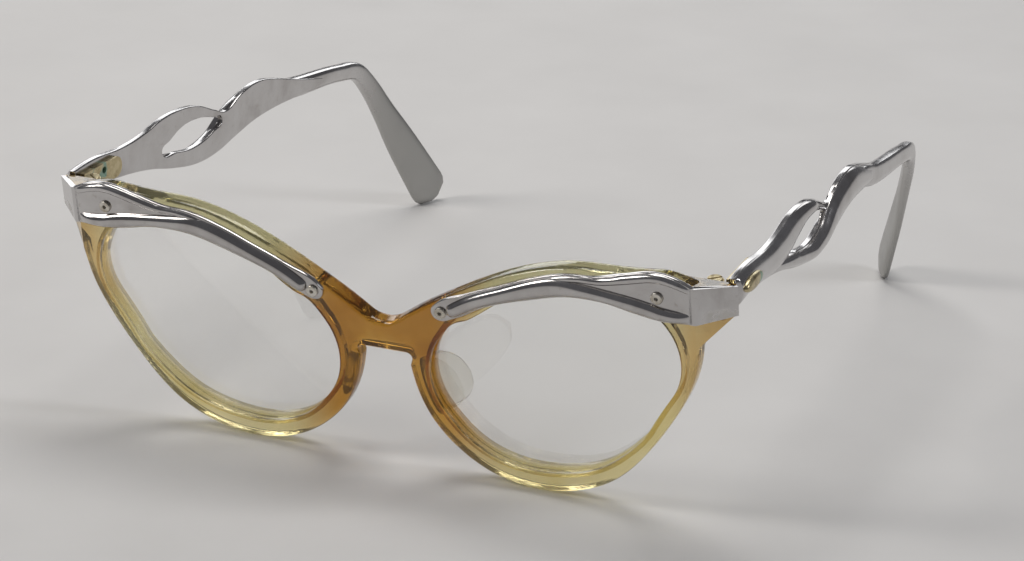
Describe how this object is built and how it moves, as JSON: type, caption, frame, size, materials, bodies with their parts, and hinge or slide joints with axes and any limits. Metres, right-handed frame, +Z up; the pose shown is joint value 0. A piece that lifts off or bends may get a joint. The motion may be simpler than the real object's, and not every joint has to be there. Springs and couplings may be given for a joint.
{
  "type": "cat-eye eyeglasses frame",
  "caption": "Cat-eye combination eyeglasses with an amber acetate front, riveted aluminium brow trims and folding openwork aluminium temples.",
  "frame": {"origin": "on the table plane, midway between the two sides and midway between the front of the brow trims and the temple tips", "axes": "+X to the right as a viewer facing the front sees it, +Y from the front towards the temple tips, +Z up"},
  "size_m": [0.1272, 0.129, 0.0459],
  "materials": {
    "acetate": "polished translucent amber",
    "clear_acetate": "clear",
    "lens": "clear, flat",
    "aluminium": "polished, worn",
    "rivet_metal": "satin",
    "hinge_brass": "tarnished nickel silver"
  },
  "bodies": {
    "front": {"front_frame": "acetate", "lens_left": "lens", "lens_right": "lens", "nose_pad_left": "clear_acetate", "nose_pad_right": "clear_acetate", "brow_trim_left": "aluminium", "brow_trim_right": "aluminium", "trim_rivets_inner": "rivet_metal", "trim_rivets_outer": "rivet_metal", "hinge_pins": "rivet_metal", "front_hinge_left": "hinge_brass", "front_hinge_right": "hinge_brass", "hinge_screws": "hinge_brass"},
    "temple_left": {"temple_left": "aluminium", "temple_hinge_left": "hinge_brass", "temple_shield_left": "hinge_brass"},
    "temple_right": {"temple_right": "aluminium", "temple_hinge_right": "hinge_brass", "temple_shield_right": "hinge_brass"}
  },
  "joints": [
    {"name": "fold_right", "type": "hinge", "parent": "front", "child": "temple_right", "pos_m": [0.0578, -0.0553, 0.03993], "axis": [0, -0.1392, 0.9903], "range_deg": [0, 87]},
    {"name": "fold_left", "type": "hinge", "parent": "front", "child": "temple_left", "pos_m": [-0.0578, -0.0553, 0.03993], "axis": [0, -0.1392, 0.9903], "range_deg": [-82, 0]}
  ]
}
